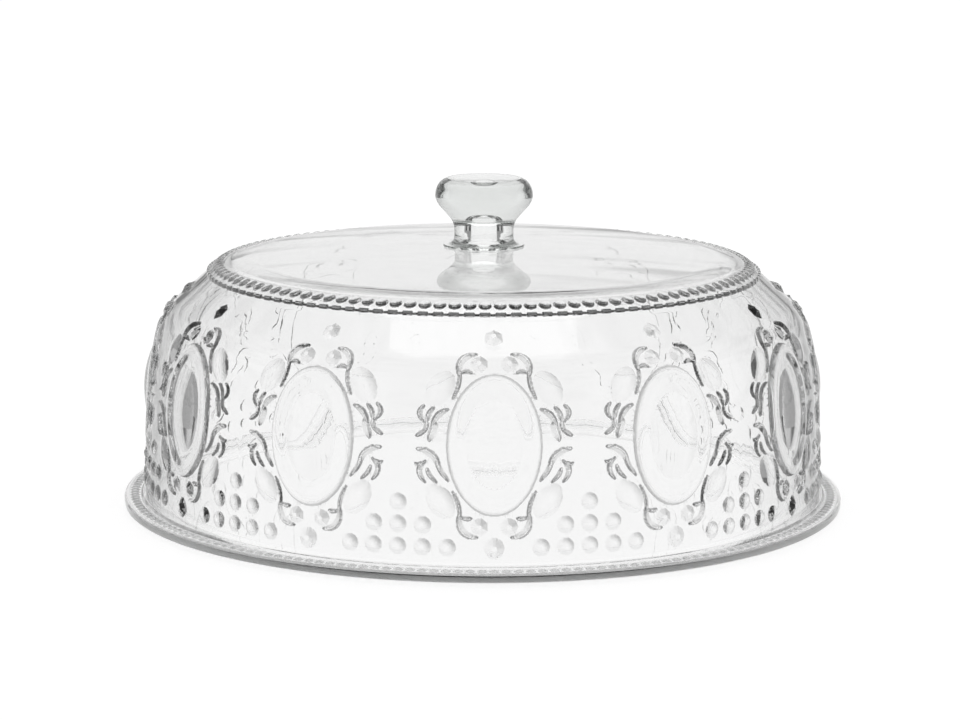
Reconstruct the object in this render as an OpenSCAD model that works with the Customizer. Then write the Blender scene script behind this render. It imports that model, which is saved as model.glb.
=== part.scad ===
// Clear moulded cake plate with a domed cover and a bonded knob.
// Millimetres, +Z up, origin at the centre of the plate's underside, on the table.
// The dome stands on the plate's seat behind a low ridge, and the knob stands on the crown.

/* [Plate] */
// Width of the flange from the ridge out to the lip's edge
flange_w = 8.5; // [8:0.1:16]
// Thickness of the flat floor
floor_t = 3; // [2:0.1:4]
// Height that the foot ring lifts the floor's underside off the table
foot_h = 2; // [1.5:0.1:4]
// Distance of the foot ring's outer edge inside the dome's seat
foot_inset = 10.2; // [8:0.2:40]
// Width of the foot ring's flat tread
foot_w = 4; // [3:0.5:8]
// Height of the flange's top above the seat that the dome stands on
flange_step = 0.8; // [0.4:0.1:1.4]
// Height of the ridge outside the dome, above the seat
ridge_h = 2.2; // [1.6:0.1:3]
// Width of the ridge's flat top
ridge_w = 0.8; // [0.5:0.1:1.2]
// Height of the lip's crest above the flange
lip_rise = 0.2; // [0.1:0.05:0.4]
// Width of the chamfer along the lip's top edge
lip_edge = 1.4; // [0.8:0.1:1.8]
// Number of beads in the plate's bead ring
rim_beads = 200; // [120:4:204]
// Width of a rim bead across its foot
rim_bead_w = 4.3; // [3:0.1:4.4]
// Height of a rim bead above the flange
rim_bead_h = 1; // [0.5:0.1:1.6]

/* [Dome wall] */
// Outside diameter of the dome where it stands on its seat
dome_d = 310.4; // [304:0.2:310.8]
// Thickness of the dome's wall
wall_t = 3; // [2.6:0.1:3.6]
// Radial gap between the dome's wall and the plate's ridge
seat_gap = 0.5; // [0.3:0.1:1]
// Lean of the straight lower wall from upright, in degrees
draft = 3; // [2:0.5:4]
// Length of the straight lower wall
wall_l = 46; // [42:1:50]
// Radius of the slow curve above the straight wall
belly_r = 150; // [140:5:170]
// Lean of the wall from upright where the slow curve ends, in degrees
belly_lean = 15; // [13:0.5:17]
// Radius of the shoulder
shoulder_r = 27; // [22:1:32]
// Lean of the bevel above the shoulder from upright, in degrees
bevel_lean = 49; // [45:1:53]
// Length of the straight bevel
bevel_l = 15; // [12:1:18]
// Radius of the curve that carries the bead band
crown_edge_r = 38; // [34:1:42]
// Lean from upright where the crown begins, in degrees
crown_lean = 85; // [83:0.5:86]

/* [Bead band] */
// Distance of the band's lower edge above the foot of the bevel's upper curve
band_start = 3.3; // [2.5:0.1:5]
// Width of the band
band_w = 12; // [10:0.5:13]
// Height of the band above the wall
band_h = 0.7; // [0.4:0.1:1]
// Number of beads in the band
band_beads = 120; // [96:12:120]
// Width of a band bead across its foot
band_bead_w = 5; // [4:0.1:5.6]
// Height of a band bead above the band
band_bead_h = 1.3; // [0.8:0.1:1.8]

/* [Medallions] */
// Number of medallions around the dome
medallions = 12; // [10:1:12]
// Height of a medallion's centre up the wall, along the wall
medallion_up = 52.4; // [51:0.2:54]
// Width of the raised oval
oval_w = 39.8; // [36:0.2:41]
// Height of the raised oval, along the wall
oval_h = 59; // [54:0.5:60]
// Height of the oval above the wall
relief_h = 1.5; // [1:0.1:2]
// Width of the cabochon in the oval
cabochon_w = 23.6; // [20:0.2:25]
// Height of the cabochon, along the wall
cabochon_l = 36.8; // [30:0.2:40]
// Height of the cabochon's top above the oval
cabochon_rise = 1.7; // [1.2:0.1:2.4]

/* [Scrolls and gems] */
// Height of the C-scrolls above the wall
scroll_h = 1.1; // [0.8:0.1:1.6]
// Length of a C-scroll from point to point
scroll_l = 14; // [10:0.5:16]
// Width of a C-scroll at its middle
scroll_w = 2.2; // [1:0.1:3]
// Distance that a C-scroll bulges from the line between its points
scroll_bulge = 3.8; // [3.2:0.1:5]
// Slope of that line, in degrees
scroll_tilt = 60; // [50:1:70]
// Sideways distance of a C-scroll's line from the medallion's centre
scroll_u = 11.2; // [9:0.1:13]
// Distance of a C-scroll's line above or below the medallion's centre
scroll_v = 31.8; // [30:0.1:34]
// Height of the cut gems above the wall
gem_h = 1.5; // [1:0.1:2.2]
// Width of a drop
drop_w = 11; // [8:0.1:12]
// Length of a drop
drop_l = 16; // [12:0.1:17]
// Lean of a drop along the oval's edge, in degrees
drop_tilt = 35; // [20:1:45]
// Sideways distance of a drop from the medallion's centre
drop_u = 22.4; // [21:0.1:24]
// Distance of a drop above or below the medallion's centre
drop_v = 23.5; // [22:0.1:25]
// Width of the stones over and under the oval
stone_w = 8.8; // [6:0.1:10]
// Distance of the upper stone above the medallion's centre
stone_above = 47.3; // [46:0.1:49]
// Distance of the lower stone below the medallion's centre
stone_below = 42.8; // [41:0.1:45]

/* [Dots] */
// Number of dots in the lowest row between two medallions
dot_row = 5; // [1:2:5]
// Width of a dot across its foot
dot_w = 7.4; // [6:0.1:8.4]
// Height of a dot above the wall
dot_h = 1.6; // [1:0.1:2.2]
// Spacing of the dots along a row
dot_pitch = 10.5; // [9:0.1:11]
// Spacing of the rows
dot_rise = 9.25; // [8.5:0.05:10]
// Height of the lowest row up the wall
dot_up = 9.6; // [8:0.1:12]

/* [Knob] */
// Height of the knob above its seat on the crown
knob_h = 31; // [26:1:40]
// Diameter of the head at its widest
head_d = 44.6; // [40:0.2:50]
// Height of the widest place above the seat
head_z = 23; // [20:0.5:24]
// Diameter of the flat top
top_d = 33.2; // [28:0.2:36]
// Diameter of the neck
neck_d = 27; // [24:0.5:30]
// Height of the neck's narrowest place above the seat
neck_z = 7; // [5:0.5:10]
// Lean of the flare above the neck from upright, in degrees
flare_lean = 41; // [36:1:46]
// Radius of the hollow curve between the neck and the flare
flare_r = 9; // [6:0.5:11]
// Radius of the hollow curve between the foot and the neck
neck_foot_r = 2.6; // [1.5:0.1:4]
// Diameter of the thin foot
knob_foot_d = 37; // [32:0.5:40]
// Thickness of the foot at its edge
knob_foot_t = 0.8; // [0.6:0.1:2]
// Diameter of the hollow that opens in the knob's underside
hollow_d = 16; // [10:0.5:18]
// Depth of that hollow
hollow_l = 20; // [10:0.5:21]

/* [Hidden] */
$fn = 96;
clear_grey = "#dfe3e4";
clear_white = "#eef1f2";
// A little extra length so that cuts pass right through
over = 1;
// How far relief reaches into the wall that carries it
root = 1.2;

seat_r = dome_d / 2;
floor_z = foot_h + floor_t;
flange_z = floor_z + flange_step;
ridge_in = seat_r + seat_gap;
ridge_out = ridge_in + ridge_w;
plate_r = ridge_out + flange_w;
lip_z = flange_z + lip_rise;
rim_ring_r = (ridge_out + plate_r - lip_edge) / 2;
foot_out = seat_r - foot_inset;
foot_slope = foot_h / 2;
// The knob's flare is straight between two arcs, and its top edge is one arc
head_out = (head_d - neck_d) / 2;
head_up = head_z - neck_z;
flare_l = head_out * sin(flare_lean) / (1 - cos(flare_lean)) - head_up;
head_under_r = (sin(flare_lean) * head_up - cos(flare_lean) * head_out)
    / (1 - cos(flare_lean)) - flare_r;
top_lean = 2 * atan((head_d - top_d) / 2 / (knob_h - head_z));
top_edge_r = (knob_h - head_z) / sin(top_lean);

// A place on the dome's outer line is [radius, height, lean from upright].
// go() walks straight on from a place, and bend() walks along an arc of radius r.
function go(p, l) = [p[0] - l * sin(p[2]), p[1] + l * cos(p[2]), p[2]];
function bend(p, lean, r) =
    [p[0] + r * (cos(lean) - cos(p[2])), p[1] + r * (sin(lean) - sin(p[2])), lean];
function arc_l(from, to, r) = r * (to - from) * PI / 180;
// The points of such an arc in n equal steps, without the place that it starts from
function arc_points(p, lean, r, n) =
    [for (i = [1 : n]) let (q = bend(p, p[2] + (lean - p[2]) * i / n, r)) [q[0], q[1]]];

wall_foot = [seat_r, floor_z, draft];
belly_foot = go(wall_foot, wall_l);
shoulder_foot = bend(belly_foot, belly_lean, belly_r);
bevel_foot = bend(shoulder_foot, bevel_lean, shoulder_r);
band_foot = go(bevel_foot, bevel_l);
crown_foot = bend(band_foot, crown_lean, crown_edge_r);
crown_r = crown_foot[0] / cos(crown_lean);
// The crown is flat under the knob
flat_lean = acos(knob_foot_d / 2 / crown_r);
crown_flat = bend(crown_foot, flat_lean, crown_r);
crown_z = crown_flat[1];

belly_s = wall_l;
shoulder_s = belly_s + arc_l(draft, belly_lean, belly_r);
bevel_s = shoulder_s + arc_l(belly_lean, bevel_lean, shoulder_r);
bandfoot_s = bevel_s + bevel_l;
band_s = bandfoot_s + band_start;
crown_s = bandfoot_s + arc_l(bevel_lean, crown_lean, crown_edge_r);
flat_s = crown_s + arc_l(crown_lean, flat_lean, crown_r);

// The place at distance s up the outer line from the seat
function up(s) =
    s <= belly_s ? go(wall_foot, s) :
    s <= shoulder_s ? bend(belly_foot, draft + (s - belly_s) / belly_r * 180 / PI, belly_r) :
    s <= bevel_s ?
        bend(shoulder_foot, belly_lean + (s - shoulder_s) / shoulder_r * 180 / PI, shoulder_r) :
    s <= bandfoot_s ? go(bevel_foot, s - bevel_s) :
    s <= crown_s ?
        bend(band_foot, bevel_lean + (s - bandfoot_s) / crown_edge_r * 180 / PI, crown_edge_r) :
    bend(crown_foot, crown_lean + (s - crown_s) / crown_r * 180 / PI, crown_r);

// The point at distance s up the wall and h outside its outer face
function skin(s, h) = let (p = up(s)) [p[0] + h * cos(p[2]), p[1] + h * sin(p[2])];
// Distances from a to b in n equal steps
function steps(a, b, n) = [for (i = [0 : n]) a + (b - a) * i / n];

// Stations up the wall: the ends of the straight runs and a few on each curve
stations = concat([0], steps(belly_s, shoulder_s, 3), [for (i = [1 : 5])
    shoulder_s + (bevel_s - shoulder_s) * i / 5], [for (i = [0 : 5])
    bandfoot_s + (crown_s - bandfoot_s) * i / 5], [for (i = [1 : 3])
    crown_s + (flat_s - crown_s) * i / 3]);

// The face h outside the wall, from distance a to distance b
function face(a, b, h) =
    [for (s = concat([a], [for (t = stations) if (t > a + 0.2 && t < b - 0.2) t], [b])) skin(s, h)];
function reversed(v) = [for (i = [len(v) - 1 : -1 : 0]) v[i]];

// Radius of the ball that leaves a cap of width w and height h, and its depth of centre
function ball_r(w, h) = (w * w / 4 + h * h) / (2 * h);

// Carries its children to a place on the dome: X along the ring, Y up the wall, Z outwards
module at_place(turn, p) {
    rotate([0, 0, turn])
        translate([p[0], 0, p[1]])
            rotate([0, -p[2], 0])
                rotate([90, 0, 90])
                    children();
}
module on_wall(turn, s) at_place(turn, up(s)) children();

// The layer of wall between the depths of its two faces, from distance a to distance b
module layer(a, b, inner, outer) {
    rotate_extrude($fn = 180)
        polygon(concat(face(a, b, outer), reversed(face(a, b, inner))));
}

// A round bead: a cap of width w and height h on a short stub that reaches into its carrier
module cap_bead(w, h) {
    r = ball_r(w, h);
    rotate_extrude($fn = 24)
        intersection() {
            translate([0, h - r]) circle(r);
            translate([0, -root]) square([w, h + root]);
        }
}

// A pointed crescent on a chord of length l along X, between two arcs that rise on one side of it
module crescent(l, outer, inner) {
    side = sign(outer);
    r_outer = ball_r(l, abs(outer));
    r_inner = ball_r(l, abs(inner));
    difference() {
        translate([0, outer - side * r_outer]) circle(r_outer);
        translate([0, inner - side * r_inner]) circle(r_inner);
    }
}

// A C-scroll beside each end of the oval, bulging away from it
module scrolls() {
    for (u = [-1, 1], v = [-1, 1])
        on_wall(medallion_turn(u * scroll_u), medallion_up + v * scroll_v)
            translate([0, 0, -root])
                linear_extrude(root + scroll_h)
                    rotate(-u * v * scroll_tilt)
                        crescent(scroll_l, v * scroll_bulge, v * (scroll_bulge - scroll_w));
}

// A cut stone: a low pyramid with that many facets on an oval foot
module gem(w, l, facets) {
    translate([0, 0, -root])
        scale([w / 2, l / 2, 1])
            rotate(90)
                cylinder(h = gem_h + root, r1 = 1, r2 = 0.1, $fn = facets);
}

// Four drops that lean along the oval's edge, and a stone above and below it
module medallion_gems() {
    for (u = [-1, 1], v = [-1, 1])
        on_wall(medallion_turn(u * drop_u), medallion_up + v * drop_v)
            rotate([0, 0, u * v * drop_tilt]) gem(drop_w, drop_l, 6);
    for (v = [stone_above, -stone_below])
        on_wall(0, medallion_up + v) gem(stone_w, stone_w, 4);
}

// The angle round the dome that a distance u along the wall spans
function medallion_turn(u) = u / seat_r * 180 / PI;

module medallion_blank() {
    translate([0, 0, -12])
        linear_extrude(24)
            scale([1, oval_h / oval_w]) circle(d = oval_w);
}

module each_medallion() {
    for (i = [0 : medallions - 1])
        rotate([0, 0, -90 + i * 360 / medallions]) children();
}

// The cabochon is a slow arc turned about a line inside the dome, and cut off within the wall
module cabochon() {
    wheel_r = ball_r(cabochon_w, cabochon_rise + cabochon_w * cabochon_w / 8 / seat_r);
    arc_r = ball_r(cabochon_l, cabochon_rise + cabochon_l * cabochon_l / 8 / belly_r);
    top = relief_h + cabochon_rise;
    on_wall(0, medallion_up)
        intersection() {
            translate([0, 0, top - wheel_r])
                rotate([90, 0, 0])
                    rotate_extrude($fn = 96)
                        intersection() {
                            translate([wheel_r - arc_r, 0]) circle(arc_r);
                            translate([0, -arc_r]) square(2 * arc_r);
                        }
            translate([root - oval_w / 2, root - oval_h / 2, -root])
                cube([oval_w - 2 * root, oval_h - 2 * root, root + top + over]);
        }
}

module dots() {
    half = 180 / medallions;
    for (row = [0 : (dot_row - 1) / 2])
        for (k = [0 : dot_row - 1 - 2 * row])
            rotate([0, 0, half + medallion_turn((k - (dot_row - 1) / 2 + row) * dot_pitch)])
                on_wall(0, dot_up + row * dot_rise) cap_bead(dot_w, dot_h);
}

// The band's outer face is straight between its two edges
band_low = skin(band_s, band_h);
band_top = skin(band_s + band_w, band_h);
band_mid = concat((band_low + band_top) / 2,
    [atan2(band_low[0] - band_top[0], band_top[1] - band_low[1])]);

module band() {
    rotate_extrude($fn = 180)
        polygon([band_low, band_top, skin(band_s + band_w, -root), skin(band_s, -root)]);
}

module band_bead_ring() {
    for (i = [0 : band_beads - 1])
        at_place((i + 0.5) * 360 / band_beads, band_mid) cap_bead(band_bead_w, band_bead_h);
}

module plate_section() {
    polygon([
        [0, foot_h], [foot_out - foot_w - foot_slope, foot_h], [foot_out - foot_w, 0],
        [foot_out, 0], [foot_out + foot_slope, foot_h], [plate_r - lip_edge / 2, foot_h],
        [plate_r, foot_h + lip_edge / 2], [plate_r, lip_z - lip_edge * 0.75],
        [plate_r - lip_edge * 0.4, lip_z - lip_edge * 0.2], [plate_r - lip_edge, lip_z],
        [plate_r - lip_edge * 1.6, flange_z], [ridge_out + 1, flange_z],
        [ridge_out, floor_z + ridge_h], [ridge_in + 0.1, floor_z + ridge_h],
        [ridge_in, floor_z], [0, floor_z]]);
}

module plate() {
    color(clear_grey)
        union() {
            rotate_extrude($fn = 180) plate_section();
            for (i = [0 : rim_beads - 1])
                rotate([0, 0, i * 360 / rim_beads])
                    translate([rim_ring_r, 0, flange_z]) cap_bead(rim_bead_w, rim_bead_h);
        }
}

module dome() {
    color(clear_white)
        union() {
            rotate_extrude($fn = 180)
                polygon(concat([[seat_r - wall_t, floor_z]], face(0, flat_s, 0),
                    [[0, crown_z], [0, crown_z - wall_t]], reversed(face(0, flat_s, -wall_t))));
            band();
            band_bead_ring();
            intersection() {
                layer(6, bandfoot_s, -root, relief_h);
                each_medallion() on_wall(0, medallion_up) medallion_blank();
            }
            each_medallion() {
                cabochon();
                medallion_gems();
                scrolls();
                dots();
            }
        }
}

// The knob's outline: a thin foot, a waist, a flare, and a head with a rounded top edge
module knob_section() {
    waist = [neck_d / 2, neck_z, 0];
    flare_end = bend(waist, -flare_lean, -flare_r);
    head_foot = go(flare_end, flare_l);
    head = [head_d / 2, head_z, 0];
    polygon(concat(
        [[0, 0], [knob_foot_d / 2, 0], [knob_foot_d / 2, knob_foot_t]],
        arc_points([neck_d / 2 + neck_foot_r, knob_foot_t, 90], 0, -neck_foot_r, 4),
        [[waist[0], waist[1]]],
        arc_points(waist, -flare_lean, -flare_r, 3), [[head_foot[0], head_foot[1]]],
        arc_points(head_foot, 0, head_under_r, 4),
        arc_points(head, top_lean, top_edge_r, 5),
        [[0, knob_h]]));
}

module knob() {
    color(clear_white)
        translate([0, 0, crown_z])
            difference() {
                rotate_extrude() knob_section();
                translate([0, 0, -over]) cylinder(h = hollow_l + over, d = hollow_d);
            }
}

plate();
dome();
knob();
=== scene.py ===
# %% [markdown]
# # A clear cake plate with a domed cover
#
# The real object is three mouldings in clear acrylic: a flat plate with a beaded rim, a low dome
# covered in raised ornament, and a turned knob bonded on top. Clear plastic has no colour of its
# own. All that the eye sees is how its two faces bend and reflect the white room, so the lesson
# here is about shape first and about light second.

import math
import bpy
import bmesh
import numpy as np
from mathutils import Matrix, Vector


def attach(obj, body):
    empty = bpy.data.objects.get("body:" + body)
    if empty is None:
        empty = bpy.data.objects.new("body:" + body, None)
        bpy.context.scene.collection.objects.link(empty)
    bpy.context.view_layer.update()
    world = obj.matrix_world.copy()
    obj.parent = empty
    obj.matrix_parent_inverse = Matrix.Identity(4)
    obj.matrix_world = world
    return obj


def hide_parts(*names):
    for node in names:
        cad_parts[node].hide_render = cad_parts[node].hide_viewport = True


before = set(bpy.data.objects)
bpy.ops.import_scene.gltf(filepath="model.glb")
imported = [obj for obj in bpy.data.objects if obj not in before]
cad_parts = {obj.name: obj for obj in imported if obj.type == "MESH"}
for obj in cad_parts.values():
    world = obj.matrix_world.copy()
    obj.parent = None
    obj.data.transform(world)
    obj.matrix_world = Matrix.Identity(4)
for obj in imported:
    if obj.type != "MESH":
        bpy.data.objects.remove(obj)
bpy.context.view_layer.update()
MM = 0.001

# %% [markdown]
# The dome's wall is drawn as one line seen from the side: straight, slow curve, tight shoulder,
# straight bevel, curve, and a shallow crown. Each place on that line is known by its distance s
# from the seat. One function gives radius, height and lean at any s, so that every ornament can
# be placed on the wall by a distance and an angle and never by a point in space.

# %% The dome's outer line
SEAT_R, SEAT_Z, WALL = 155.2, 5.0, 3.0
KNOB_FOOT_R = 18.5
RUNS = [("straight", 46.0, 3.0), ("arc", 150.0, 15.0), ("arc", 27.0, 49.0),
        ("straight", 15.0, 49.0), ("arc", 38.0, 85.0)]


def trace_runs():
    r, z, lean, s, out = SEAT_R, SEAT_Z, math.radians(3), 0.0, []
    for kind, size, end in RUNS:
        end = math.radians(end)
        length = size if kind == "straight" else size * (end - lean)
        out.append((s, kind, size, r, z, lean))
        if kind == "straight":
            r, z = r - length * math.sin(lean), z + length * math.cos(lean)
        else:
            r += size * (math.cos(end) - math.cos(lean))
            z += size * (math.sin(end) - math.sin(lean))
            lean = end
        s += length
    crown_r = r / math.cos(lean)
    flat = math.acos(KNOB_FOOT_R / crown_r)
    out.append((s, "arc", crown_r, r, z, lean))
    return out, s, s + crown_r * (flat - lean)


LINE, CROWN_S, FLAT_S = trace_runs()


def outer_line(s):
    """Radius, height and lean of the wall at each distance s from the seat, in mm."""
    s = np.asarray(s, float)
    r, z, lean = np.zeros_like(s), np.zeros_like(s), np.zeros_like(s)
    for s0, kind, size, r0, z0, a0 in LINE:
        here = s >= s0 - 1e-9
        t = s[here] - s0
        if kind == "straight":
            r[here], z[here], lean[here] = r0 - t * math.sin(a0), z0 + t * math.cos(a0), a0
        else:
            a = a0 + t / size
            r[here] = r0 + size * (np.cos(a) - math.cos(a0))
            z[here] = z0 + size * (np.sin(a) - math.sin(a0))
            lean[here] = a
    return r, z, lean


CROWN_Z = float(outer_line([FLAT_S])[1][0])
print("crown at %.1f mm, flat from s = %.1f mm" % (CROWN_Z, FLAT_S))

# %% [markdown]
# The ornament is a height field: a rule that says how far the surface stands out of the plain
# wall at u mm along the ring and v mm up the wall. Every motif is a small function, and where
# two meet the higher one wins, just as in a mould that was cut with one tool after another.

# %% Small shape rules
def rise(x, width):
    """0 below 0, 1 beyond width, and a soft step between."""
    t = np.clip(x / width, 0, 1)
    return t * t * (3 - 2 * t)


def cap(d, width, height):
    """A spherical cap at distance d from its centre."""
    ball = (width * width / 4 + height * height) / (2 * height)
    return np.maximum(np.sqrt(np.maximum(ball * ball - d * d, 0)) - (ball - height), 0)


def inside_oval(u, v, a, b):
    """Distance inside an oval of half-widths a and b, in mm, near enough at its edge."""
    q = np.sqrt((u / a) ** 2 + (v / b) ** 2) + 1e-9
    slope = np.sqrt((u / a ** 2) ** 2 + (v / b ** 2) ** 2) / q + 1e-9
    return (1 - q) / slope


def stroke(u, v, a, via, b, half, height):
    """A pointed crescent from a through via to b: steep on its outer side, gentle on its inner one."""
    a, via, b = (np.array(p, float) for p in (a, via, b))
    bend = 2 * via - (a + b) / 2
    outward = np.sign((b - a)[0] * (via - a)[1] - (b - a)[1] * (via - a)[0])
    best, across = np.full(u.shape, 9.0), np.full(u.shape, 9.0)
    steps, swell, tip = 24, 1.2, 0.1
    for i in range(steps + 1):
        t = i / steps
        p = (1 - t) ** 2 * a + 2 * t * (1 - t) * bend + t * t * b
        way = 2 * (1 - t) * (bend - a) + 2 * t * (b - bend)
        w = swell * half * math.sqrt(max(1 - (2 * t - 1) ** 2, 0)) + tip
        d = np.hypot(u - p[0], v - p[1]) / w
        side = outward * np.sign(way[0] * (v - p[1]) - way[1] * (u - p[0]))
        across = np.where(d < best, side * d, across)
        best = np.minimum(best, d)
    ridge = 0.25    # 0 is the middle of the rib and 1 its outer edge
    inner, outer = (1 + across) / (1 + ridge), (1 - across) / (1 - ridge)
    return height * np.clip(np.minimum(inner, outer), 0, 1)


def turned_to(u, v, at, width, length, tilt):
    """Coordinates in a tilted oval, 1 at its rim."""
    c, s = math.cos(math.radians(tilt)), math.sin(math.radians(tilt))
    x, y = (u - at[0]) * c + (v - at[1]) * s, -(u - at[0]) * s + (v - at[1]) * c
    return x / (width / 2), y / (length / 2)


def olive(u, v, at, width, length, tilt, height):
    """A smooth drop with slightly pointed ends."""
    x, y = turned_to(u, v, at, width, length, tilt)
    return height * np.maximum(1 - np.abs(x) ** 2 - np.abs(y) ** 1.8, 0) ** 0.9


def cut_stone(u, v, at, width, length, tilt, height, sides):
    """A low pyramid of flat facets with its tip cut off."""
    x, y = turned_to(u, v, at, width, length, tilt)
    q = np.zeros_like(x)
    for k in range(sides):
        f = 2 * math.pi * (k + 0.5) / sides
        q = np.maximum(q, x * math.cos(f) + y * math.sin(f))
    return height * np.clip(1 - q / math.cos(math.pi / sides), 0, 0.75)


sample = cap(np.array([0.0, 2.0]), width=8.0, height=2.0)
print("a cap 8 mm wide: %.2f mm high at its centre, %.2f mm at 2 mm from it" % tuple(sample))

# %% One medallion
# Each stroke is its start, a point on its way, its end and half its width, in mm from the centre
STROKES = [
    ((6.6, 38.4), (13.2, 35.8), (14.5, 28.5), 1.35), ((14.3, 31.0), (14.9, 25.2), (17.5, 18.8), 0.85),
    ((9.2, 29.8), (11.4, 30.6), (14.2, 29.8), 0.7),
    ((18.8, 14.8), (23.4, 12.2), (25.9, 6.8), 1.15), ((24.8, 15.6), (27.0, 13.0), (28.0, 9.4), 0.95),
    ((28.8, 16.4), (31.0, 13.2), (29.2, 9.6), 0.95), ((24.2, 9.2), (25.6, 5.6), (27.0, 1.6), 1.5),
    ((28.2, 9.8), (28.4, 7.4), (29.4, 5.4), 0.9), ((28.8, 6.0), (30.4, 4.9), (32.6, 3.5), 0.9)]
LOWER_STROKES = [
    ((32.6, -1.8), (26.2, -3.8), (22.8, -9.6), 1.35), ((24.0, -6.4), (22.2, -10.6), (18.8, -15.2), 1.0),
    ((27.9, -9.6), (26.8, -12.6), (23.6, -15.8), 0.85), ((28.2, -6.6), (31.2, -10.8), (28.4, -16.0), 1.05),
    ((30.4, -7.2), (31.8, -8.2), (33.0, -7.6), 0.6),
    ((6.6, -38.4), (13.2, -35.8), (14.5, -28.5), 1.35), ((14.3, -31.0), (14.9, -25.2), (17.5, -18.8), 0.85),
    ((9.4, -30.2), (11.4, -30.6), (14.2, -29.8), 0.8)]
OVAL, CABOCHON = (19.9, 29.5), (11.8, 18.4)
FRAME_EDGE, FRAME_FALL, FALL_WIDTH = 3.5, 0.9, 4.6
RELIEF, CABOCHON_RISE, SCROLL, DROP, STONE = 1.5, 2.6, 1.2, 1.5, 2.2
print(len(STROKES + LOWER_STROKES), "strokes on each half of a medallion")


def gems(u, v):
    """Drops, studs and stones of one medallion."""
    above = cut_stone(u, v, (0, 47.3), 8.4, 9.4, 30, STONE, 6)
    below = cut_stone(u, v, (0, -43.0), 9.0, 9.4, 0, STONE, 9)
    h = np.maximum(above, below)
    for sign in (1, -1):
        h = np.maximum(h, olive(u, v, (22.4, 23.5 * sign), 11, 16.5, 35 * sign, DROP))
        h = np.maximum(h, cut_stone(u, v, (6.2, 33.9 * sign), 7.8, 7.8, 0, STONE, 7))
    return h


def medallion(u, v):
    """Height at u, v from the medallion's centre. u is never negative: the other half mirrors it."""
    edge = inside_oval(u, v, *OVAL)
    well = inside_oval(u, v, *CABOCHON)
    h = RELIEF * np.sqrt(np.clip(1 - (1 - np.clip(edge / FRAME_EDGE, 0, 1)) ** 2, 0, 1))
    h = h - FRAME_FALL * rise(edge - FRAME_EDGE, FALL_WIDTH)
    q2 = np.clip((u / CABOCHON[0]) ** 2 + (v / CABOCHON[1]) ** 2, 0, 1)
    h = np.where(well > 0, RELIEF - FRAME_FALL + CABOCHON_RISE * (1 - q2), h)
    for a, via, b, half in STROKES + LOWER_STROKES:
        h = np.maximum(h, stroke(u, v, a, via, b, half, SCROLL) * (edge < 0.6))
    return np.maximum(h, gems(u, v))


print("a medallion stands %.1f mm out at its centre" % medallion(np.zeros(1), np.zeros(1))[0])

# %% The whole wall
MEDALLIONS, MEDALLION_UP, CARVED = 12, 52.4, (4, 106)
HALF = math.pi / MEDALLIONS
DOT_PITCH, DOT_ROWS = 10.5 / SEAT_R, [(9.6, 2), (18.85, 1), (28.1, 0)]
DOT_WIDTH, DOT_HEIGHT = 7.4, 1.6
BAND, BAND_STEP, BEADS = (111.7, 123.7), 0.7, 120
BEAD_UP, BEAD_RADIUS, BEAD_HEIGHT = 117.2, 2.6, 1.15
BAR_UP, BAR_HALF, BAR_HEIGHT = 112.0, 0.9, 0.8


def nearest_dot(turn, s):
    """Distance in mm to the nearest dot, seen from angle turn of a medallion and height s."""
    gap = np.full(np.shape(turn), 99.0)
    for up, last in DOT_ROWS:
        for k in range(-last, last + 1):
            aside = (np.abs(turn) - HALF - k * DOT_PITCH) * outer_line(s)[0]
            gap = np.minimum(gap, np.hypot(aside, s - up))
    return gap


def relief(turn, s):
    """Height of the ornament over the plain wall at angle turn from a medallion, in mm."""
    r = outer_line(s)[0]
    u = turn * r
    h = np.where((s > CARVED[0]) & (s < CARVED[1]), medallion(u, s - MEDALLION_UP), 0)
    h = np.maximum(h, cap(nearest_dot(turn, s), DOT_WIDTH, DOT_HEIGHT))
    step = BAND_STEP * rise(s - BAND[0] + 0.3, 0.6) * rise(BAND[1] - s, 3.2)
    pitch = 2 * math.pi / BEADS
    off = (np.mod(turn, pitch) - pitch / 2) * r
    # A bead has a flattish top and a steep rim, and a fine bar lies below it
    from_bead = np.hypot(off * 0.96, s - BEAD_UP) / BEAD_RADIUS
    bead = BEAD_HEIGHT * np.maximum(1 - from_bead ** 3, 0) ** 0.6
    bar = np.sqrt(np.maximum(1 - ((s - BAR_UP) / BAR_HALF) ** 2, 0))
    bar = BAR_HEIGHT * rise(2.3 - np.abs(off), 0.5) * bar
    return np.maximum(h, step + np.maximum(bead, bar))


on_bead = relief(np.array([math.pi / BEADS]), np.array([BEAD_UP]))
print("the top of a bead stands %.2f mm out of the plain wall" % on_bead[0])

# %% [markdown]
# All three mouldings repeat round the upright axis: the dome 12 times, the plate 200 times, the
# knob endlessly. So each is built as half of one slice, and a Geometry Nodes tree mirrors the
# half and turns it round the axis. The slice starts as a fine grid and is then thinned, which
# keeps small triangles on the ornament and large ones on the plain wall.

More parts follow.
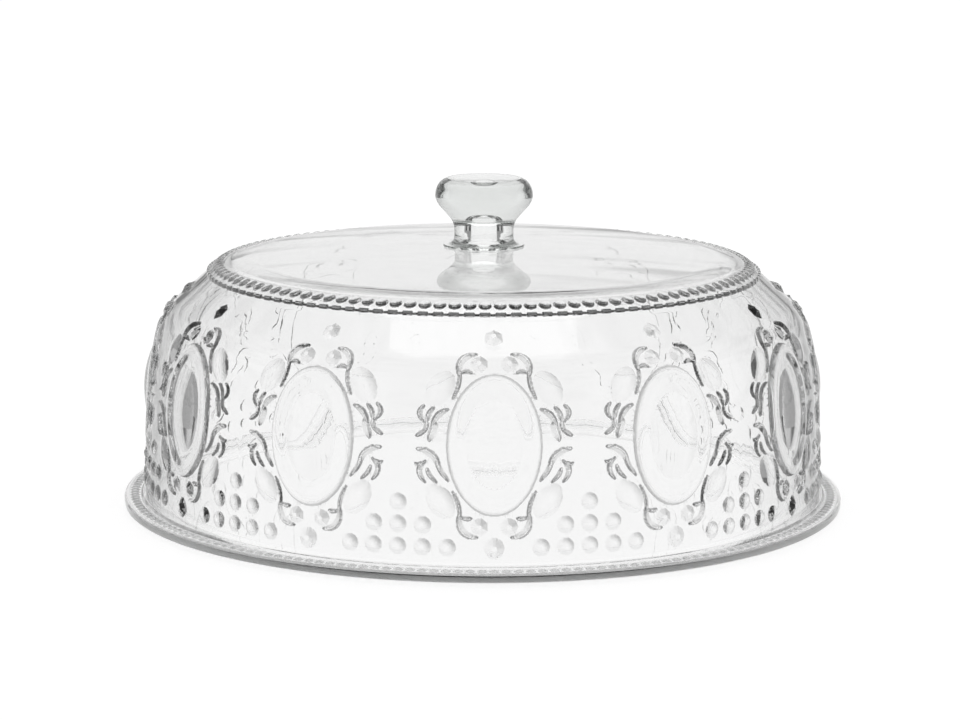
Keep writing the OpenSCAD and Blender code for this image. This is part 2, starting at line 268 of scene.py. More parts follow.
# %% Build half a slice from rows of points
def half_slice(name, rows, keep, half):
    """rows[j][i] is a point: j runs round the closed section and i across half the slice."""
    n_rows, n_cols, _ = rows.shape
    mesh = bpy.data.meshes.new(name)
    idx = np.arange(n_rows * n_cols).reshape(n_rows, n_cols)
    nxt = np.roll(idx, -1, axis=0)
    quads = np.stack([idx[:, :-1], idx[:, 1:], nxt[:, 1:], nxt[:, :-1]], -1).reshape(-1, 4)
    mesh.from_pydata(rows.reshape(-1, 3).tolist(), [], quads.tolist())
    bm = bmesh.new()
    bm.from_mesh(mesh)
    bmesh.ops.remove_doubles(bm, verts=bm.verts, dist=1e-7)
    bmesh.ops.dissolve_degenerate(bm, edges=bm.edges, dist=1e-8)
    bmesh.ops.triangulate(bm, faces=bm.faces)
    bm.to_mesh(mesh)
    bm.free()
    full = len(mesh.polygons)
    obj = bpy.data.objects.new(name, mesh)
    bpy.context.scene.collection.objects.link(obj)
    if keep < full:
        thin = obj.modifiers.new("Thin", "DECIMATE")
        thin.ratio = keep / full
        dg = bpy.context.evaluated_depsgraph_get()
        slim = bpy.data.meshes.new_from_object(obj.evaluated_get(dg))
        obj.modifiers.clear()
        obj.data = slim
    snap_to_planes(obj.data, half)
    print(name, "half slice:", full, "->", len(obj.data.polygons), "triangles")
    return obj


def snap_to_planes(mesh, half):
    """Puts the open edges of the half slice exactly on its two mirror planes."""
    bm = bmesh.new()
    bm.from_mesh(mesh)
    for v in bm.verts:
        if v.is_boundary:
            r, a = math.hypot(v.co.x, v.co.y), math.atan2(v.co.y, v.co.x)
            a = 0.0 if abs(a) < abs(a - half) else half
            v.co.x, v.co.y = r * math.cos(a), r * math.sin(a)
    bm.to_mesh(mesh)
    bm.free()


# %% The tree that turns a slice round the axis
def node(tree, kind, links=(), **settings):
    """Adds a node with its settings; links are (input, value or socket)."""
    n = tree.nodes.new(kind)
    for key, value in settings.items():
        setattr(n, key, value)
    for key, value in links:
        if isinstance(value, bpy.types.NodeSocket):
            tree.links.new(value, n.inputs[key])
        else:
            n.inputs[key].default_value = value
    return n


def math_node(tree, operation, *values):
    """A Math node's result for up to three values or sockets."""
    return node(tree, "ShaderNodeMath", list(enumerate(values)), operation=operation).outputs[0]


def turning_tree():
    tree = bpy.data.node_groups.new("turn round the axis", "GeometryNodeTree")
    face = tree.interface
    face.new_socket("Geometry", in_out="INPUT", socket_type="NodeSocketGeometry")
    face.new_socket("Slices", in_out="INPUT", socket_type="NodeSocketInt")
    face.new_socket("First turn", in_out="INPUT", socket_type="NodeSocketFloat")
    face.new_socket("Weld", in_out="INPUT", socket_type="NodeSocketFloat")
    face.new_socket("Finish", in_out="INPUT", socket_type="NodeSocketMaterial")
    face.new_socket("Geometry", in_out="OUTPUT", socket_type="NodeSocketGeometry")
    into = node(tree, "NodeGroupInput").outputs
    other = node(tree, "GeometryNodeTransform",
                 [("Geometry", into["Geometry"]), ("Scale", (1, -1, 1))])
    other = node(tree, "GeometryNodeFlipFaces", [("Mesh", other.outputs[0])])
    both = node(tree, "GeometryNodeJoinGeometry", [("Geometry", into["Geometry"])])
    tree.links.new(other.outputs[0], both.inputs[0])
    both = node(tree, "GeometryNodeMergeByDistance",
                [("Geometry", both.outputs[0]), ("Distance", into["Weld"])])
    step = math_node(tree, "DIVIDE", 2 * math.pi, into["Slices"])
    which = node(tree, "GeometryNodeInputIndex").outputs[0]
    turn = math_node(tree, "MULTIPLY_ADD", which, step, into["First turn"])
    spin = node(tree, "ShaderNodeCombineXYZ", [("Z", turn)])
    spots = node(tree, "GeometryNodePoints", [("Count", into["Slices"])])
    ring = node(tree, "GeometryNodeInstanceOnPoints",
                [("Points", spots.outputs[0]), ("Instance", both.outputs[0])])
    ring = node(tree, "GeometryNodeRotateInstances",
                [("Instances", ring.outputs[0]), ("Rotation", spin.outputs[0])])
    real = node(tree, "GeometryNodeRealizeInstances", [("Geometry", ring.outputs[0])])
    weld = node(tree, "GeometryNodeMergeByDistance",
                [("Geometry", real.outputs[0]), ("Distance", into["Weld"])])
    smooth = node(tree, "GeometryNodeSetShadeSmooth", [("Geometry", weld.outputs[0])])
    done = node(tree, "GeometryNodeSetMaterial",
                [("Geometry", smooth.outputs[0]), ("Material", into["Finish"])])
    node(tree, "NodeGroupOutput", [("Geometry", done.outputs[0])])
    return tree


TURN = turning_tree()
print(TURN.name + ":", len(TURN.nodes), "nodes")


def turned(name, half_obj, slices, finish, first=0.0, weld=2e-6):
    """Runs the tree on a half slice and returns the finished plain mesh object."""
    mod = half_obj.modifiers.new("Turn", "NODES")
    mod.node_group = TURN
    ids = {s.name: s.identifier for s in TURN.interface.items_tree if s.in_out == "INPUT"}
    for key, value in (("Slices", slices), ("First turn", first), ("Weld", weld), ("Finish", finish)):
        mod[ids[key]] = value
    dg = bpy.context.evaluated_depsgraph_get()
    mesh = bpy.data.meshes.new_from_object(half_obj.evaluated_get(dg))
    half_obj.modifiers.clear()
    bpy.data.objects.remove(half_obj)
    obj = bpy.data.objects.new(name, mesh)
    bpy.context.scene.collection.objects.link(obj)
    return even_normals(closed(obj))


def closed(obj):
    """Deletes a bare edge, turns the faces outwards and reports open edges."""
    mesh, name = obj.data, obj.name
    bm = bmesh.new()
    bm.from_mesh(mesh)
    # The half slices share one bare edge along the axis
    bmesh.ops.delete(bm, geom=[e for e in bm.edges if not e.link_faces], context="EDGES")
    open_edges = sum(1 for e in bm.edges if not e.is_manifold)
    if bm.calc_volume(signed=True) < 0:
        bmesh.ops.reverse_faces(bm, faces=bm.faces)
    bm.to_mesh(mesh)
    bm.free()
    print(name, len(mesh.polygons), "triangles,", open_edges, "open edges")
    return obj


def even_normals(obj, crease=26):
    """Keeps creases sharp, and lets the large plain faces decide the shading beside small ones."""
    obj.data.set_sharp_from_angle(angle=math.radians(crease))
    weigh = obj.modifiers.new("Even", "WEIGHTED_NORMAL")
    weigh.mode, weigh.weight, weigh.keep_sharp = "FACE_AREA_WITH_ANGLE", 50, True
    dg = bpy.context.evaluated_depsgraph_get()
    mesh = bpy.data.meshes.new_from_object(obj.evaluated_get(dg))
    obj.modifiers.clear()
    obj.data = mesh
    return obj


# %% [markdown]
# The finish is acrylic, PMMA, straight from a polished steel mould. Light bends by 1.49 in it.
# It is clear, but not quite colourless over a long path: light that is trapped between the two
# faces and runs along the wall comes out a little darker. That is why the edges of such mouldings
# look grey. A volume that absorbs a little gives a part of this, and the rest is painted shade: the
# first surface is painted greyer on steep places of the relief and wherever it is seen at a slant.

# %% Helpers for the finish
CALM = 0.65    # how much of the far wall's relief is smoothed away for the light behind it


def linear(hex_code):
    """An sRGB hex value as linear red, green, blue and alpha."""
    c = [int(hex_code[i:i + 2], 16) / 255 for i in (1, 3, 5)]
    return tuple(x / 12.92 if x <= 0.04045 else ((x + 0.055) / 1.055) ** 2.4 for x in c) + (1.0,)


def satin_ring(tree, place, rough, radius, height, value):
    """The roughness value beyond a radius and below a height, and the plain one elsewhere."""
    spot = node(tree, "ShaderNodeSeparateXYZ", [("Vector", place)]).outputs
    out = node(tree, "ShaderNodeCombineXYZ", [("X", spot["X"]), ("Y", spot["Y"])]).outputs[0]
    out = node(tree, "ShaderNodeVectorMath", [(0, out)], operation="LENGTH").outputs["Value"]
    beyond = math_node(tree, "GREATER_THAN", out, radius)
    low = math_node(tree, "LESS_THAN", spot["Z"], height)
    there = math_node(tree, "MULTIPLY", beyond, low)
    return node(tree, "ShaderNodeMix", [("Factor", there), ("A", rough), ("B", value)],
                data_type="FLOAT").outputs[0]


def painted_shade_amount(tree, slant_shade):
    """Painted shade on the first surface: at steep places of the relief, and where it is seen at a slant.
    """
    # Painted shade at steep places of the relief, where a steep edge would throw light aside
    slope_shade = node(tree, "ShaderNodeAttribute", attribute_name="slope_shade").outputs["Fac"]
    # Painted shade where the surface is seen at a slant, where the path through the plastic is long
    facing = node(tree, "ShaderNodeLayerWeight", [("Blend", 0.5)]).outputs["Facing"]
    slant = node(tree, "ShaderNodeMapRange", [("Value", facing), ("From Min", 0.35), ("From Max", 1.0),
                                              ("To Min", 0.0), ("To Max", slant_shade)]).outputs[0]
    # Level faces get less painted shade, as if lit from the ceiling above them
    true = node(tree, "ShaderNodeNewGeometry").outputs["True Normal"]
    level = node(tree, "ShaderNodeSeparateXYZ", [("Vector", true)]).outputs["Z"]
    level = math_node(tree, "MULTIPLY", level, level)
    level = math_node(tree, "MULTIPLY_ADD", level, -0.8, 1.0)
    painted_grey = math_node(tree, "MAXIMUM", slope_shade, math_node(tree, "MULTIPLY", slant, level))
    # The shade is painted only where the eye meets the plastic first
    first = node(tree, "ShaderNodeLightPath").outputs["Is Camera Ray"]
    return math_node(tree, "MULTIPLY", painted_grey, first)


def calmed(tree, face):
    """The normal, calmer for light that has passed one wall and meets the relief of the next."""
    plain = node(tree, "ShaderNodeAttribute", attribute_name="plain").outputs["Vector"]
    # From inside the plastic a face is met from behind, and its normal turns round
    back = node(tree, "ShaderNodeNewGeometry").outputs["Backfacing"]
    side = math_node(tree, "MULTIPLY_ADD", back, -2.0, 1.0)
    plain = node(tree, "ShaderNodeVectorMath", [(0, plain), ("Scale", side)],
                 operation="SCALE").outputs[0]
    depth = node(tree, "ShaderNodeLightPath").outputs["Transmission Depth"]
    share = math_node(tree, "MULTIPLY", math_node(tree, "GREATER_THAN", depth, 1.5), CALM)
    soft = node(tree, "ShaderNodeMix", [("Factor", share)], data_type="VECTOR")
    tree.links.new(face, soft.inputs["A"])
    tree.links.new(plain, soft.inputs["B"])
    return node(tree, "ShaderNodeVectorMath", [(0, soft.outputs["Result"])],
                operation="NORMALIZE").outputs[0]


# %% The acrylic of each piece
def acrylic(name, tint, edge, absorb, density, polish, wave, slant_shade=0.0, calm=False, satin=None):
    mat = bpy.data.materials.new(name)
    mat.use_nodes = True
    tree = mat.node_tree
    tree.nodes.clear()
    place = node(tree, "ShaderNodeTexCoord").outputs["Object"]
    # Flow lines of the melt: soft waves about 25 mm apart and a hundredth of a millimetre high
    flow = node(tree, "ShaderNodeTexNoise", [("Vector", place), ("Scale", 40.0), ("Detail", 1.5),
                                             ("Roughness", 0.4)]).outputs["Fac"]
    face = node(tree, "ShaderNodeBump",
                [("Height", flow), ("Strength", 1.0), ("Distance", wave)]).outputs[0]
    # Handling haze: a touch more roughness in patches of 15 mm or so
    haze = node(tree, "ShaderNodeTexNoise", [("Vector", place), ("Scale", 65.0), ("Detail", 3.0)])
    rough = node(tree, "ShaderNodeMapRange", [("Value", haze.outputs["Fac"]), ("From Min", 0.35),
                                              ("From Max", 0.75), ("To Min", polish),
                                              ("To Max", polish * 2.2)]).outputs[0]
    if satin:
        # A satin underside lets out the light that would be trapped between the two faces
        rough = satin_ring(tree, place, rough, *satin)
    # The base colour is the tint, turning to the second colour where shade is painted
    colour = node(tree, "ShaderNodeMix", [("Factor", painted_shade_amount(tree, slant_shade))], data_type="RGBA")
    colour.inputs["A"].default_value = linear(tint)
    colour.inputs["B"].default_value = linear(edge)
    shade = node(tree, "ShaderNodeBsdfPrincipled",
                 [("Base Color", colour.outputs["Result"]), ("Roughness", rough), ("IOR", 1.49),
                  ("Transmission Weight", 1.0), ("Normal", calmed(tree, face) if calm else face)])
    inner = node(tree, "ShaderNodeVolumeAbsorption", [("Color", linear(absorb)), ("Density", density)])
    node(tree, "ShaderNodeOutputMaterial", [("Surface", shade.outputs[0]), ("Volume", inner.outputs[0])])
    print("material:", name)
    return mat


# Metres from the axis, metres above the table, and the roughness of the flange's underside
SATIN_UNDERSIDE = (0.1505, 0.0025, 0.3)
# The second colour of each acrylic is its painted shade colour, and the number for a slant says how much
# shade is painted where it is seen at a slant
DOME_ACRYLIC = acrylic("moulded clear acrylic, dome", "#FBFBFB", "#101214", "#E6E8E6", 3.0,
                       polish=0.004, wave=0.00004, slant_shade=0.75, calm=True)
PLATE_ACRYLIC = acrylic("moulded clear acrylic, plate", "#FFFFFF", "#A6AAAC", "#E4E7E6", 4.0,
                        polish=0.006, wave=0.00003, satin=SATIN_UNDERSIDE)
KNOB_ACRYLIC = acrylic("turned clear acrylic, knob", "#FFFFFF", "#202426", "#DDE0DE", 22.0,
                       polish=0.004, wave=0.00002, slant_shade=1.0)

# %% [markdown]
# ## The dome
# The outer face carries the ornament, and the inner face is smooth, because a moulding has to
# slide off its core. The two are joined at the seat and meet at the axis.

# %% Half a slice of the dome
AIR = 0.06    # mm of air between pieces that touch, or light would not know which one it meets
STRAIGHT_S, RELIEF_S, ROW_STEP = RUNS[0][1], 126, 0.42


def dome_rows(columns=104):
    turn = np.linspace(0, HALF, columns)
    plain_top = np.linspace(RELIEF_S, FLAT_S, 26)
    t, s = np.meshgrid(turn, np.concatenate([np.arange(0, RELIEF_S, ROW_STEP), plain_top]))
    r, z, lean = outer_line(s)
    h = relief(t, s)
    r, z = r + h * np.cos(lean), np.maximum(z + h * np.sin(lean), SEAT_Z + AIR)
    # The inner face runs from the crown back to the seat, with few rows where it is straight
    crown, curved = np.linspace(FLAT_S, CROWN_S, 14), np.linspace(CROWN_S, STRAIGHT_S, 34)
    ri, zi, li = outer_line(np.concatenate([crown, curved[1:], [30, 15, 0]]))
    ri, zi = ri - WALL * np.cos(li), zi - WALL * np.sin(li)
    zi[-1] = SEAT_Z + AIR
    ri[-1] = SEAT_R - WALL
    r = np.vstack([r, np.zeros((2, columns)), np.tile(ri[:, None], (1, columns))])
    top, under = np.full((1, columns), CROWN_Z), np.full((1, columns), CROWN_Z - WALL)
    z = np.vstack([z, top, under, np.tile(zi[:, None], (1, columns))])
    return np.stack([r * np.cos(turn), r * np.sin(turn), z], -1) * MM


dome_half = half_slice("dome", dome_rows(), keep=7900, half=HALF)

# %% [markdown]
# The shine of a surface follows its slope and not its height, and a thinned mesh knows its slopes
# only roughly. So the normals of the dome are worked out from the height rule itself. The same
# slopes say how much shade is painted on each place.

# %% How steep half a medallion is, and how much shade is painted on it
TABLE_STEP, TABLE_TOP, TABLE_COLUMNS = 0.25, 130, 200
# Degrees of slope where painted shade begins on round shapes and on ribs, and how many more make it full
ROUND_FROM, RIB_FROM, TO_FULL = 8, 20, 26
# Reach in mm of a dot from its centre and of the frame's rim from its edge
DOT_REACH, RIM_REACH = 3.9, 1.6
# Shares of painted shade: least and most on the lit and the shaded side of a round shape, then on ribs, the
# frame's rim, the oval, the bars and the beads
DROP_LIT, DROP_SHADE, RIB_SHADE = 0.12, 0.6, 0.92
RIM_SHADE, OVAL_SHADE, BAR_SHADE, BEAD_SHADE = 0.65, 0.3, 0.85, 0.1


def slope_table():
    """Slopes of the relief on half a medallion, and the painted shade on its left and right half."""
    turn, up = np.linspace(0, HALF, TABLE_COLUMNS), np.arange(0, TABLE_TOP, TABLE_STEP)
    t, s = np.meshgrid(turn, up)
    r = outer_line(s)[0]
    up_slope, ring_slope = np.gradient(relief(t, s), up, turn)
    ring_slope = ring_slope / r
    size = np.hypot(ring_slope, up_slope)
    u, v = t * r, s - MEDALLION_UP
    in_oval = inside_oval(u, v, *OVAL)
    drop = (nearest_dot(t, s) < DOT_REACH) | (gems(u, v) > 0.02)
    frame_rim = np.abs(in_oval) < RIM_REACH
    begin = np.where(drop | frame_rim, ROUND_FROM, RIB_FROM)
    slope_shade = np.clip((np.degrees(np.arctan(size)) - begin) / TO_FULL, 0, 1)
    painted_grey = []
    for hand in (-1, 1):
        # Painted shade: round shapes get most of it on their upper right, the side away from the light, and
        # the narrow ribs get it all over
        aside = -(hand * ring_slope + up_slope) / np.maximum(size, 1e-6) / math.sqrt(2)
        share = np.where(drop, DROP_LIT + DROP_SHADE * np.clip(aside, 0, 1), RIB_SHADE)
        share = np.where(frame_rim, RIM_SHADE, share)
        share = np.where(in_oval > 1.0, OVAL_SHADE, share)
        # Painted shade on the band: dark on the fine bars and faint on the beads
        share = np.where(s > BAND[0] - 2, BAR_SHADE, share)
        share = np.where(s > BAND[0] + 1.6, BEAD_SHADE, share)
        painted_grey.append(slope_shade * share)
    return ring_slope, up_slope, np.array(painted_grey)


RING_SLOPE, UP_SLOPE, PAINTED_SHADE = slope_table()
print("grey on %.0f%% of a medallion's field" % (100 * (PAINTED_SHADE > 0.3).mean()))

# %% Normals and greyness of the dome
INWARD = 0.25    # how far each corner is read towards the middle of its triangle


def read(items, name, width=1, kind=np.float32):
    """One property of all items as an array."""
    out = np.empty(len(items) * width, kind)
    items.foreach_get(name, out)
    return out.reshape(-1, width) if width > 1 else out


def store(mesh, name, kind, domain, key, values):
    """Keeps a value of each point or corner as an attribute that the material reads."""
    mesh.attributes.new(name, kind, domain).data.foreach_set(key, values.astype(np.float32).ravel())


def plain_wall(co):
    """The plain wall's normal beside each point, and the distance s. The inner face counts too."""
    s = np.linspace(0, FLAT_S, 900)
    r, z, lean = outer_line(s)
    radius, height = np.hypot(co[:, 0], co[:, 1]) / MM, co[:, 2] / MM
    gap = np.full(len(co), 1e9)
    best = np.zeros(len(co), int)
    for i in range(len(s)):
        d = (radius - r[i]) ** 2 + (height - z[i]) ** 2
        nearer = d < gap
        gap[nearer], best[nearer] = d[nearer], i
    a = lean[best]
    off = (radius - r[best]) * np.cos(a) + (height - z[best]) * np.sin(a)
    way = np.stack([np.cos(a) * co[:, 0] / MM / np.maximum(radius, 1e-6),
                    np.cos(a) * co[:, 1] / MM / np.maximum(radius, 1e-6), np.sin(a)], -1)
    return np.where((off < -2.0)[:, None], -way, way), s[best]


def mark_relief(obj):
    """Gives each corner the true normal of the relief, and stores its painted shade and how plain it is."""
    mesh = obj.data
    co = read(mesh.vertices, "co", 3)
    way, up = plain_wall(co)
    store(mesh, "plain", "FLOAT_VECTOR", "POINT", "vector", way)
    corner = read(mesh.loops, "vertex_index", kind=np.int32)
    turn = np.mod(np.arctan2(co[:, 1], co[:, 0]) + math.pi / 2 + HALF, 2 * HALF) - HALF
    turn, up, outer = (a[corner].reshape(-1, 3) for a in (turn, up, way[:, 2] > 0))
    # A triangle that crosses from one medallion to the next counts on one side of the border
    turn = np.where(np.abs(turn - turn[:, :1]) > HALF, -turn, turn)
    # Each corner is read a little inside its triangle, so a crease stays crisp
    turn = (1 - INWARD) * turn + INWARD * turn.mean(1, keepdims=True)
    up = (1 - INWARD) * up + INWARD * up.mean(1, keepdims=True)
    last = TABLE_COLUMNS - 1
    i = np.clip(np.rint(up / TABLE_STEP).astype(int), 0, len(RING_SLOPE) - 1)
    j = np.clip(np.rint(np.abs(turn) / HALF * last).astype(int), 0, last)
    outer = outer.all(1)[:, None] & (up > 1.0) & (up < FLAT_S - 1)
    # Painted shade of each corner, on the outer face only, from the table of its half medallion
    slope_shade = PAINTED_SHADE[(turn > 0).astype(int), i, j] * outer
    store(mesh, "slope_shade", "FLOAT", "CORNER", "value", slope_shade)
    out = way[corner]
    along = np.stack([-co[:, 1], co[:, 0], 0 * co[:, 0]], -1)
    along = (along / np.maximum(np.hypot(co[:, 0], co[:, 1]), 1e-6)[:, None])[corner]
    tip = out - (np.sign(turn) * RING_SLOPE[i, j]).reshape(-1, 1) * along
    tip = tip - UP_SLOPE[i, j].reshape(-1, 1) * np.cross(out, along)
    tip = tip / np.linalg.norm(tip, axis=1, keepdims=True)
    flat = read(mesh.corner_normals, "vector", 3)
    mesh.normals_split_custom_set(np.where(outer.reshape(-1, 1), tip, flat).tolist())
    print(obj.name, "steep at %.0f%% of its corners" % (100 * (slope_shade > 0.3).mean()))


# %% The finished dome
dome = turned("dome_moulding", dome_half, MEDALLIONS, DOME_ACRYLIC, first=-math.pi / 2)
mark_relief(dome)
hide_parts("dome")
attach(dome, "root")

# %% [markdown]
# ## The plate
# A flat floor on a foot ring, a low ridge that keeps the dome in place, and a flange with a ring
# of 200 small beads inside a rounded lip. One slice holds one bead.

# %% Half a slice of the plate
RIM_BEADS, RIM_RING = 200, 160.1
RIM_BEAD_WIDTH, RIM_BEAD_HEIGHT = 4.3, 1.0
BED_FROM, BED_TO, BED_UP = 157.6, 162.5, 5.7
PLATE_LINE = [(0, 5), (150, 5), (155.7, 5), (155.82, 5.25), (155.82, 7.0), (155.98, 7.2), (156.38, 7.2),
              (156.55, 7.0), (157.35, 5.95), (157.7, 5.8), (162.4, 5.8), (163.0, 5.96), (163.7, 5.98),
              (164.45, 5.7), (164.9, 5.1), (164.95, 4.4), (164.95, 2.9), (164.8, 2.35), (164.3, 2.0),
              (150, 2), (146.2, 2), (145.2, 0.3), (144.8, 0), (141.2, 0), (140.8, 0.3), (139.8, 2), (0, 2)]


def plate_rows(columns=7):
    half = math.pi / RIM_BEADS
    line = np.array(PLATE_LINE, float)
    pts = [line[0]]
    for a, b in zip(line[:-1], line[1:]):
        bead_bed = a[0] > BED_FROM and b[0] < BED_TO and a[1] > BED_UP
        n = 14 if bead_bed else max(1, min(8, int(np.hypot(*(b - a)) / 0.8)))
        pts += [a + (b - a) * k / n for k in range(1, n + 1)]
    pts = np.array(pts)
    turn = np.linspace(0, half, columns)
    t, r = np.meshgrid(turn, pts[:, 0])
    z = np.tile(pts[:, 1][:, None], (1, columns))
    bead = cap(np.hypot(t * r, r - RIM_RING), RIM_BEAD_WIDTH, RIM_BEAD_HEIGHT)
    z = z + np.where((z > BED_UP) & (r > BED_FROM), bead, 0)
    return np.stack([r * np.cos(t), r * np.sin(t), z], -1) * MM, half


rows, plate_half_angle = plate_rows()
plate_half = half_slice("plate", rows, keep=360, half=plate_half_angle)
plate = turned("plate_moulding", plate_half, RIM_BEADS, PLATE_ACRYLIC)
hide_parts("plate")
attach(plate, "root")

# %% [markdown]
# ## The knob
# A turned shape with a thin foot, a waist and a wide head, and a blind hollow from below.
# Its foot is bonded to the crown, so a hair's breadth of air stays between the two faces.

# %% Half a slice of the knob
KNOB_LINE = [(18.5, 0), (18.5, 0.8), (16.1, 0.8), (14.9, 1.3), (14.1, 2.2), (13.6, 3.4),
             (13.5, 5.0), (13.5, 7.0), (13.75, 9.0), (14.5, 11.2), (15.7, 12.9), (18.2, 15.8),
             (20.2, 18.0), (21.5, 20.0), (22.2, 21.9), (22.3, 23.4), (22.0, 25.4), (21.2, 27.4),
             (19.9, 29.2), (18.2, 30.3), (16.6, 30.8), (15.6, 30.9), (0, 30.9)]
# The hollow narrows a little above its mouth and ends in a dome
HOLLOW_LINE = [(0, 20.0), (2.6, 19.7), (4.4, 18.8), (5.5, 17.2), (5.8, 15.0), (6.0, 4.0),
               (6.6, 2.0), (8.0, 0)]
KNOB_SLICES, UNTHINNED = 72, 10 ** 6


def smooth_line(points, per=6):
    """A soft curve through the points, and straight where two neighbours are level or plumb."""
    p = np.array(points, float)
    out = [p[0]]
    for i in range(len(p) - 1):
        a, b = p[i], p[i + 1]
        if abs(a[0] - b[0]) < 1e-6 or abs(a[1] - b[1]) < 1e-6:
            out.append(b)
            continue
        before, after = p[max(i - 1, 0)], p[min(i + 2, len(p) - 1)]
        for k in range(1, per + 1):
            t = k / per
            out.append(0.5 * (2 * a + (b - before) * t + (2 * before - 5 * a + 4 * b - after) * t * t
                              + (3 * a - before - 3 * b + after) * t ** 3))
    return np.array(out)


def knob_rows(columns=2):
    half = math.pi / KNOB_SLICES
    pts = np.vstack([smooth_line(KNOB_LINE), smooth_line(HOLLOW_LINE)])
    turn = np.linspace(0, half, columns)
    r = np.tile(pts[:, 0][:, None], (1, columns))
    z = np.tile(pts[:, 1][:, None], (1, columns)) + CROWN_Z + AIR
    return np.stack([r * np.cos(turn), r * np.sin(turn), z], -1) * MM, half


rows, knob_half_angle = knob_rows()
knob_half = half_slice("knob", rows, keep=UNTHINNED, half=knob_half_angle)
knob = turned("knob_turned", knob_half, KNOB_SLICES, KNOB_ACRYLIC)
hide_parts("knob")
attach(knob, "root")

# %% [markdown]
# ## The room
# Clear plastic in an all-white room would vanish. In a bright-field studio the white wall stands
# behind the object and the rest of the room is dim. Light that passes straight through both
# walls meets white. Light that an edge of the relief reflects inside the plastic comes from
# the dim room, and draws the dark lines. Counting reflections on a light path says which it is,
# so the look is the same from every side. Outside reflections see white walls, a greyer ceiling
# and a soft box in its middle.

# %% Which light was thrown back
# A depth is a whole number, so a limit of 0.5 asks for more than none, and 2.5 for two at most
def thrown_back(tree):
    """1 for light that the first wall reflected inside the plastic, and else 0."""
    path = node(tree, "ShaderNodeLightPath").outputs
    bounced = math_node(tree, "GREATER_THAN", path["Glossy Depth"], 0.5)
    early = math_node(tree, "LESS_THAN", path["Transmission Depth"], 2.5)
    both = math_node(tree, "MULTIPLY", bounced, early)
    return math_node(tree, "MULTIPLY", both, path["Is Transmission Ray"])


# %% World
def room():
    world = bpy.data.worlds.new("studio")
    bpy.context.scene.world = world
    world.use_nodes = True
    tree = world.node_tree
    tree.nodes.clear()
    split = node(tree, "ShaderNodeSeparateXYZ",
                 [("Vector", node(tree, "ShaderNodeTexCoord").outputs["Generated"])])
    x, y, z = (split.outputs[k] for k in ("X", "Y", "Z"))
    path = node(tree, "ShaderNodeLightPath").outputs

    def ramp(value, low, high, at_low, at_high):
        return node(tree, "ShaderNodeMapRange", [("Value", value), ("From Min", low), ("From Max", high),
                                                 ("To Min", at_low), ("To Max", at_high)],
                    interpolation_type="SMOOTHSTEP").outputs[0]

    def mix(fac, one, two):
        return node(tree, "ShaderNodeMix", [("Factor", fac), ("A", one), ("B", two)],
                    data_type="FLOAT").outputs[0]

    def calc(operation, *values):
        return math_node(tree, operation, *values)

    # White walls, a ceiling that falls off above 25 degrees, and the soft box overhead
    box_edge = (0.88, 0.92)
    ceiling = calc("ADD", ramp(z, 0.4, 0.8, 1.0, 0.75), ramp(z, *box_edge, 0.0, 0.25))
    # The dim part of the room, with a few brighter panels between dark gaps
    eight = calc("MULTIPLY", calc("ARCTAN2", y, x), 8.0)
    panels = ramp(calc("COSINE", eight), -0.4, 0.6, 0.06, 0.50)
    fading = calc("MULTIPLY", panels, ramp(z, 0.2, 0.7, 1.0, 0.5))
    dim = calc("ADD", fading, ramp(z, *box_edge, 0.0, 0.4))
    # Things about the room that only a mirror image on the outside shows, as soft streaks
    drawn_out = node(tree, "ShaderNodeCombineXYZ", [("X", x), ("Y", y), ("Z", calc("MULTIPLY", z, 4.0))])
    things = node(tree, "ShaderNodeTexNoise",
                  [("Vector", drawn_out.outputs[0]), ("Scale", 4.5), ("Detail", 2.0)])
    streaks = ramp(things.outputs["Fac"], 0.36, 0.56, 0.35, 1.0)
    outside = calc("LESS_THAN", path["Transmission Depth"], 0.5)
    mirrored = calc("MULTIPLY", path["Is Glossy Ray"], outside)
    ceiling = mix(mirrored, ceiling, calc("MULTIPLY", ceiling, streaks))
    lit = mix(thrown_back(tree), ceiling, dim)
    lit = mix(path["Is Diffuse Ray"], lit, 0.85)
    lit = mix(path["Is Camera Ray"], lit, 1.0)
    studio = node(tree, "ShaderNodeBackground", [("Color", linear("#FFFFFF")), ("Strength", lit)])
    node(tree, "ShaderNodeOutputWorld", [("Surface", studio.outputs[0])])
    print("world:", world.name, "with", len(tree.nodes), "nodes")


room()

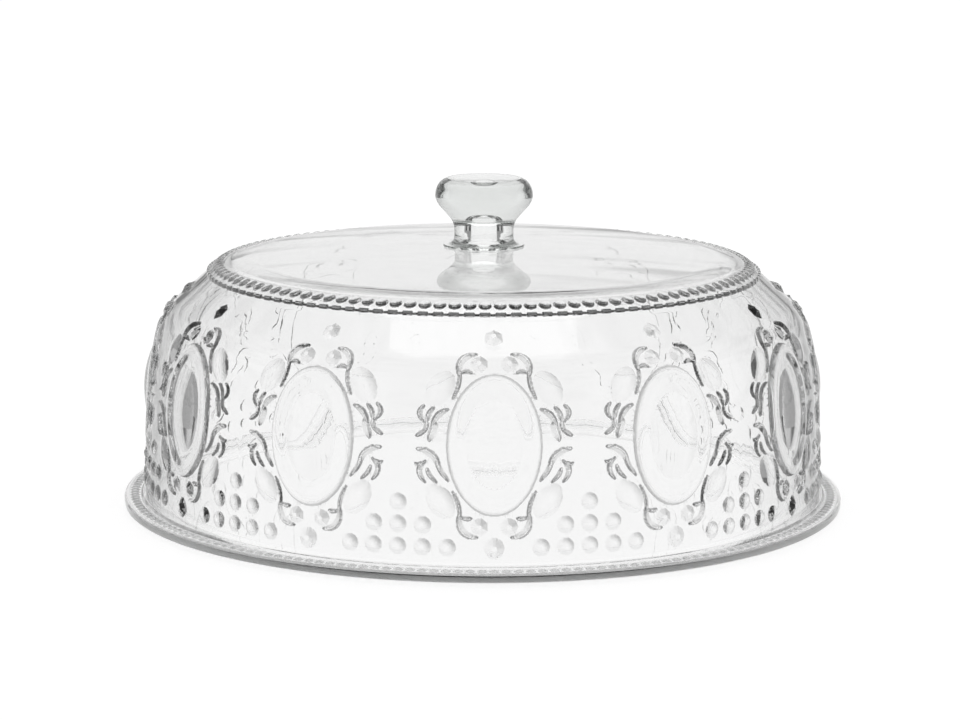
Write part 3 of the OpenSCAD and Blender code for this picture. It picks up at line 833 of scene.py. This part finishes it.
# %% Floor
def floor():
    mesh = bpy.data.meshes.new("floor")
    size = 30.0
    mesh.from_pydata([(-size, -size, 0), (size, -size, 0), (size, size, 0), (-size, size, 0)], [],
                     [(0, 1, 2, 3)])
    obj = bpy.data.objects.new("floor", mesh)
    bpy.context.scene.collection.objects.link(obj)
    mat = bpy.data.materials.new("white seamless paper")
    mat.use_nodes = True
    tree = mat.node_tree
    tree.nodes.clear()
    paper = node(tree, "ShaderNodeBsdfDiffuse", [("Color", linear("#8C8C8C"))])
    glow = node(tree, "ShaderNodeEmission", [("Color", linear("#FFFFFF")), ("Strength", 0.80)])
    lit = node(tree, "ShaderNodeAddShader", [(0, paper.outputs[0]), (1, glow.outputs[0])])
    # Mirrored or seen through the plastic, the paper is as white as the background, and dim for light
    # that was thrown back. Close to the plate that dim paper glows brighter: painted light that stands in
    # for light through the clear lip.
    path = node(tree, "ShaderNodeLightPath").outputs
    below = node(tree, "ShaderNodeMapRange", [("Value", path["Ray Length"]), ("From Min", 0.01),
                                              ("From Max", 0.1), ("To Min", 0.75), ("To Max", 0.3)])
    far = node(tree, "ShaderNodeMix", [("Factor", thrown_back(tree)), ("A", 1.0), ("B", below.outputs[0])],
               data_type="FLOAT")
    white = node(tree, "ShaderNodeEmission", [("Color", linear("#FFFFFF")), ("Strength", far.outputs[0])])
    seen = math_node(tree, "MAXIMUM", path["Is Glossy Ray"], path["Is Transmission Ray"])
    both = node(tree, "ShaderNodeMixShader", [(0, seen), (1, lit.outputs[0]), (2, white.outputs[0])])
    node(tree, "ShaderNodeOutputMaterial", [("Surface", both.outputs[0])])
    mesh.materials.append(mat)
    print("floor:", 2 * size, "m wide,", mat.name)


floor()

# %% [markdown]
# The world gives nearly all the light. One soft box overhead gives the paper its faint shadow
# under the rim.

# %% Light
def soft_box(name, at, size, power):
    data = bpy.data.lights.new(name, "AREA")
    data.shape, data.size, data.size_y, data.energy = "RECTANGLE", size[0], size[1], power
    obj = bpy.data.objects.new(name, data)
    bpy.context.scene.collection.objects.link(obj)
    obj.location = at
    obj.rotation_euler = (Vector((0, 0, 0.06)) - Vector(at)).to_track_quat("-Z", "Y").to_euler()
    print(name + ":", power, "W at", at)


soft_box("soft box above", at=(0.0, 0.0, 2.4), size=(1.6, 1.6), power=6.0)

# %% [markdown]
# ## The camera
# It stands 1.41 m away and 0.32 m up, looks 10.4 degrees down, and is turned by a quarter of a
# degree about its own line of sight, as the level lines of the picture show.

# %% Camera
# The focal length and the sideways shift of the object's axis are read in pixels of the photo
PICTURE_WIDTH, FOCAL, SHIFT = 960, 3125.7, 3.36
AWAY, UP = 1.4143, 0.32475
SWING, PITCH, ROLL = math.radians(1.8), math.radians(10.391), math.radians(0.255)


def camera():
    data = bpy.data.cameras.new("camera")
    data.sensor_width = 36.0
    data.lens = FOCAL / PICTURE_WIDTH * data.sensor_width
    data.clip_start, data.clip_end = 0.05, 100
    cam = bpy.data.objects.new("camera", data)
    bpy.context.scene.collection.objects.link(cam)
    bpy.context.scene.camera = cam
    cam.location = (-AWAY * math.sin(SWING), -AWAY * math.cos(SWING), UP)
    yaw = math.atan(SHIFT / FOCAL)
    turn = Matrix.Rotation(-SWING + yaw, 4, "Z") @ Matrix.Rotation(math.pi / 2 - PITCH, 4, "X")
    cam.rotation_euler = (turn @ Matrix.Rotation(ROLL, 4, "Z")).to_euler()
    print("camera at", tuple(round(x, 4) for x in cam.location), "with a %.1f mm lens" % data.lens)


camera()

# %% Render settings that belong to the scene
scene = bpy.context.scene
scene.view_settings.view_transform = "Standard"
scene.cycles.max_bounces = 24
scene.cycles.transmission_bounces = 24
scene.cycles.glossy_bounces = 14
scene.cycles.diffuse_bounces = 3
scene.cycles.caustics_reflective = True
scene.cycles.caustics_refractive = True
scene.cycles.blur_glossy = 0.5
scene.cycles.sample_clamp_indirect = 3.0
print("bounces:", scene.cycles.max_bounces, "and", scene.cycles.glossy_bounces, "glossy")
